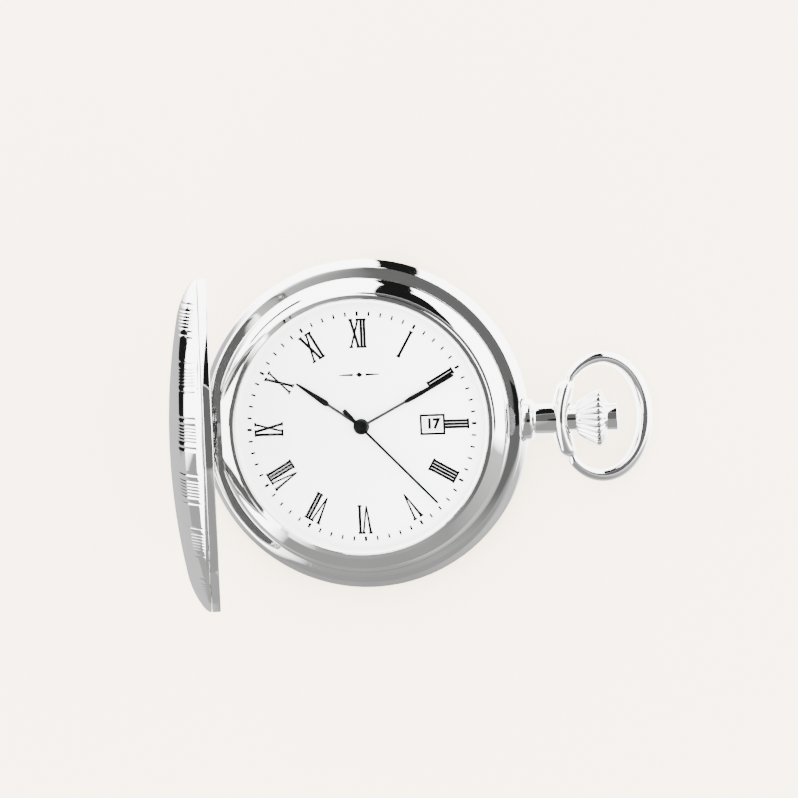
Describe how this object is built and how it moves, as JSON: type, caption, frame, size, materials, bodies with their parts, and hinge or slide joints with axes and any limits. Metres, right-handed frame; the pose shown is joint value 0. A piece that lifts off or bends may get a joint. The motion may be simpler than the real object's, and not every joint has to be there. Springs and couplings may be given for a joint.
{
  "type": "pocket watch",
  "caption": "Hunter-case pocket watch with a hinged domed cover standing open, a white Roman-numeral dial with a date window, a fluted crown and an oval bow.",
  "frame": {"origin": "centre of the flat on the case back, on the surface that the watch lies on, under the middle of the dial", "axes": "+X to the crown at 3 o'clock, +Y to 12 o'clock, +Z out of the dial"},
  "size_m": [0.0671, 0.048, 0.0506],
  "materials": {
    "polished_steel": "mirror polished",
    "spring_steel": "fine brushed",
    "white_enamel": "satin white lacquer",
    "black_lacquer": "gloss black lacquer",
    "crystal_glass": "clear, polished",
    "gilt_brass": "gilt",
    "white_plastic": "moulded",
    "black_rubber": "matt",
    "copper_wire": "enamelled copper wire",
    "green_board": "solder mask"
  },
  "bodies": {
    "case": {"case_middle": "polished_steel", "case_back": "polished_steel", "back_gasket": "black_rubber", "bezel": "polished_steel", "crystal": "crystal_glass", "crystal_gasket": "white_plastic", "pendant": "polished_steel", "hinge_pin": "spring_steel", "lift_spring": "spring_steel", "dial": "white_enamel", "movement_ring": "white_plastic", "mainplate": "gilt_brass", "train_bridge": "spring_steel", "stator": "spring_steel", "coil": "copper_wire", "quartz_can": "polished_steel", "circuit_board": "green_board", "battery": "polished_steel", "battery_clamp": "spring_steel"},
    "cover": {"front_cover": "polished_steel", "cover_frame": "polished_steel"},
    "bow": {"bow": "polished_steel"},
    "crown_sleeve": {"crown_gasket": "black_rubber"},
    "stem": {"setting_stem": "spring_steel"},
    "crown": {"crown": "polished_steel"},
    "catch": {"lock_spring": "spring_steel"},
    "seconds": {"seconds_wheel": "gilt_brass", "second_hand": "black_lacquer"},
    "minutes": {"centre_wheel": "gilt_brass", "minute_hand": "black_lacquer"},
    "hours": {"hour_wheel": "gilt_brass", "hour_hand": "black_lacquer"},
    "third_wheel": {"third_wheel": "gilt_brass"},
    "step_wheel": {"step_wheel": "gilt_brass"},
    "rotor": {"rotor": "spring_steel"},
    "minute_wheel": {"minute_wheel": "gilt_brass"},
    "date_step_wheel": {"date_step_wheel": "white_plastic"},
    "date_drive_wheel": {"date_drive_wheel": "white_plastic"},
    "date_disc": {"date_disc": "white_enamel"}
  },
  "joints": [
    {"name": "cover_hinge", "type": "hinge", "parent": "case", "child": "cover", "pos_m": [-0.022, 0, 0.0062], "axis": [0, 1, 0], "range_deg": [0, 80], "stiffness_Nm_per_rad": 0.002, "springref_deg": -30},
    {"name": "bow_swing", "type": "hinge", "parent": "case", "child": "bow", "pos_m": [0.03, 0, 0.005], "axis": [0, -1, 0], "range_deg": [-70, 109]},
    {"name": "crown_press", "type": "slide", "parent": "case", "child": "crown_sleeve", "axis": [1, 0, 0], "range_m": [-0.0005, 0], "stiffness_N_per_m": 2000, "springref_m": 0.0005},
    {"name": "crown_pull", "type": "slide", "parent": "crown_sleeve", "child": "stem", "axis": [1, 0, 0], "range_m": [0, 0.001]},
    {"name": "crown_turn", "type": "hinge", "parent": "stem", "child": "crown", "pos_m": [0.034, 0, 0.005], "axis": [1, 0, 0], "continuous": true},
    {"name": "catch_release", "type": "slide", "parent": "case", "child": "catch", "axis": [1, 0, 0], "range_m": [-0.0005, 0]},
    {"name": "seconds_turn", "type": "hinge", "parent": "case", "child": "seconds", "pos_m": [0, 0, 0.0078], "axis": [0, 0, -1], "continuous": true},
    {"name": "minutes_turn", "type": "hinge", "parent": "case", "child": "minutes", "pos_m": [0, 0, 0.0078], "axis": [0, 0, -1], "continuous": true},
    {"name": "hours_turn", "type": "hinge", "parent": "case", "child": "hours", "pos_m": [0, 0, 0.0078], "axis": [0, 0, -1], "continuous": true},
    {"name": "third_wheel_turn", "type": "hinge", "parent": "case", "child": "third_wheel", "pos_m": [0.00413, 0.0015, 0.005], "axis": [0, 0, -1], "continuous": true},
    {"name": "step_wheel_turn", "type": "hinge", "parent": "case", "child": "step_wheel", "pos_m": [-0.00357, -0.0013, 0.005], "axis": [0, 0, -1], "continuous": true},
    {"name": "rotor_turn", "type": "hinge", "parent": "case", "child": "rotor", "pos_m": [-0.00274, -0.00439, 0.005], "axis": [0, 0, -1], "continuous": true},
    {"name": "minute_wheel_turn", "type": "hinge", "parent": "case", "child": "minute_wheel", "pos_m": [0.00052, 0.00295, 0.0068], "axis": [0, 0, -1], "continuous": true},
    {"name": "date_step_wheel_turn", "type": "hinge", "parent": "case", "child": "date_step_wheel", "pos_m": [0.0024, -0.00416, 0.0068], "axis": [0, 0, -1], "continuous": true},
    {"name": "date_drive_wheel_turn", "type": "hinge", "parent": "case", "child": "date_drive_wheel", "pos_m": [0.005, -0.00326, 0.0068], "axis": [0, 0, -1], "continuous": true},
    {"name": "date_disc_turn", "type": "hinge", "parent": "case", "child": "date_disc", "pos_m": [0, 0, 0.0071], "axis": [0, 0, -1], "continuous": true}
  ],
  "couplings": [
    {"joint": "catch_release", "follows": "crown_press", "ratio": 1},
    {"joint": "rotor_turn", "follows": "seconds_turn", "ratio": 30},
    {"joint": "step_wheel_turn", "follows": "seconds_turn", "ratio": -5},
    {"joint": "third_wheel_turn", "follows": "seconds_turn", "ratio": -0.13333},
    {"joint": "minutes_turn", "follows": "seconds_turn", "ratio": 0.016667},
    {"joint": "minute_wheel_turn", "follows": "seconds_turn", "ratio": -0.0055556},
    {"joint": "hours_turn", "follows": "seconds_turn", "ratio": 0.0013889},
    {"joint": "date_step_wheel_turn", "follows": "seconds_turn", "ratio": -0.0013889},
    {"joint": "date_drive_wheel_turn", "follows": "seconds_turn", "ratio": 0.00069444},
    {"joint": "date_disc_turn", "follows": "seconds_turn", "ratio": 0.000022401}
  ]
}
